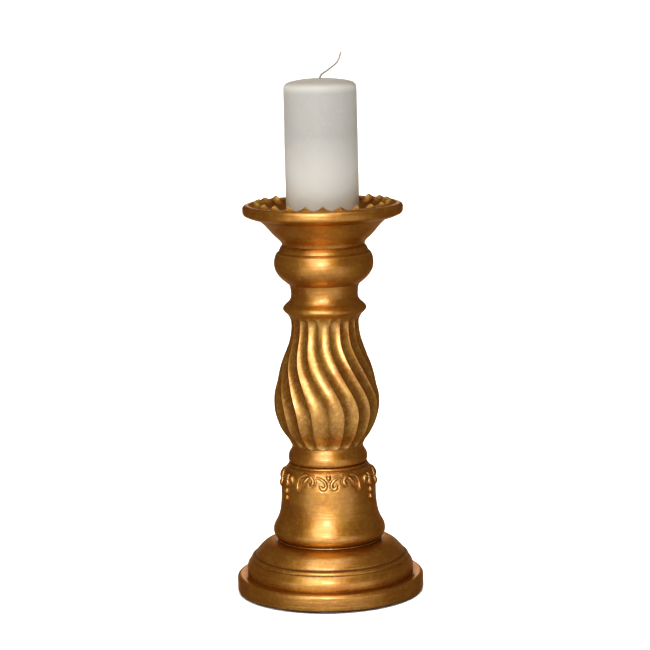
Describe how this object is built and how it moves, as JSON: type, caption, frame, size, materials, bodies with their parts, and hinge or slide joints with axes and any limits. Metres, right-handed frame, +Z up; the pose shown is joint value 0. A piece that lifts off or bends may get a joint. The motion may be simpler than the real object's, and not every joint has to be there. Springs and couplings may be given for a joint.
{
  "type": "altar candlestick",
  "caption": "Gilded turned candlestick with a twisted fluted baluster, a bell with relief ornament, a stepped round base and a scalloped drip pan that holds a pillar candle.",
  "frame": {"origin": "centre of the felt's underside, on the surface that the candlestick stands on", "axes": "+Z up along the stem, -Y towards the front crest of the ornament, +X to the right seen from the front"},
  "size_m": [0.181, 0.181, 0.5219],
  "materials": {
    "gilt_wood": "antique gold over red-brown ground, satin, rubbed through on edges",
    "gilt_relief": "gilded composition relief, satin, with darker hollows",
    "steel": "plain bright zinc-plated steel",
    "brass_plate": "spun brass, satin",
    "candle_wax": "smooth ivory candle wax, slightly translucent",
    "wick_cotton": "waxed plaited cotton",
    "base_felt": "dark brown pressed felt"
  },
  "bodies": {
    "stand": {"felt_pad": "base_felt", "plinth": "gilt_wood", "base_dome": "gilt_wood", "bell": "gilt_wood", "torus_ring": "gilt_wood", "fluted_baluster": "gilt_wood", "neck_collar": "gilt_wood", "knop": "gilt_wood", "pan_trumpet": "gilt_wood", "drip_pan": "gilt_wood", "scroll_crest_1": "gilt_relief", "leaf_spray_left_1": "gilt_relief", "leaf_spray_right_1": "gilt_relief", "bead_drop_1": "gilt_relief", "scroll_crest_2": "gilt_relief", "leaf_spray_left_2": "gilt_relief", "leaf_spray_right_2": "gilt_relief", "bead_drop_2": "gilt_relief", "scroll_crest_3": "gilt_relief", "leaf_spray_left_3": "gilt_relief", "leaf_spray_right_3": "gilt_relief", "bead_drop_3": "gilt_relief", "tie_rod": "steel", "base_washer": "steel", "spring_washer": "steel", "base_nut": "steel", "pan_washer": "steel", "pricket": "steel", "seat_plate": "brass_plate"},
    "lift_off_candle": {"candle": "candle_wax", "wick": "wick_cotton"}
  },
  "joints": [
    {"name": "candle_lift", "type": "slide", "parent": "stand", "child": "lift_off_candle", "axis": [0, 0, 1], "range_m": [0, 0.06]}
  ]
}
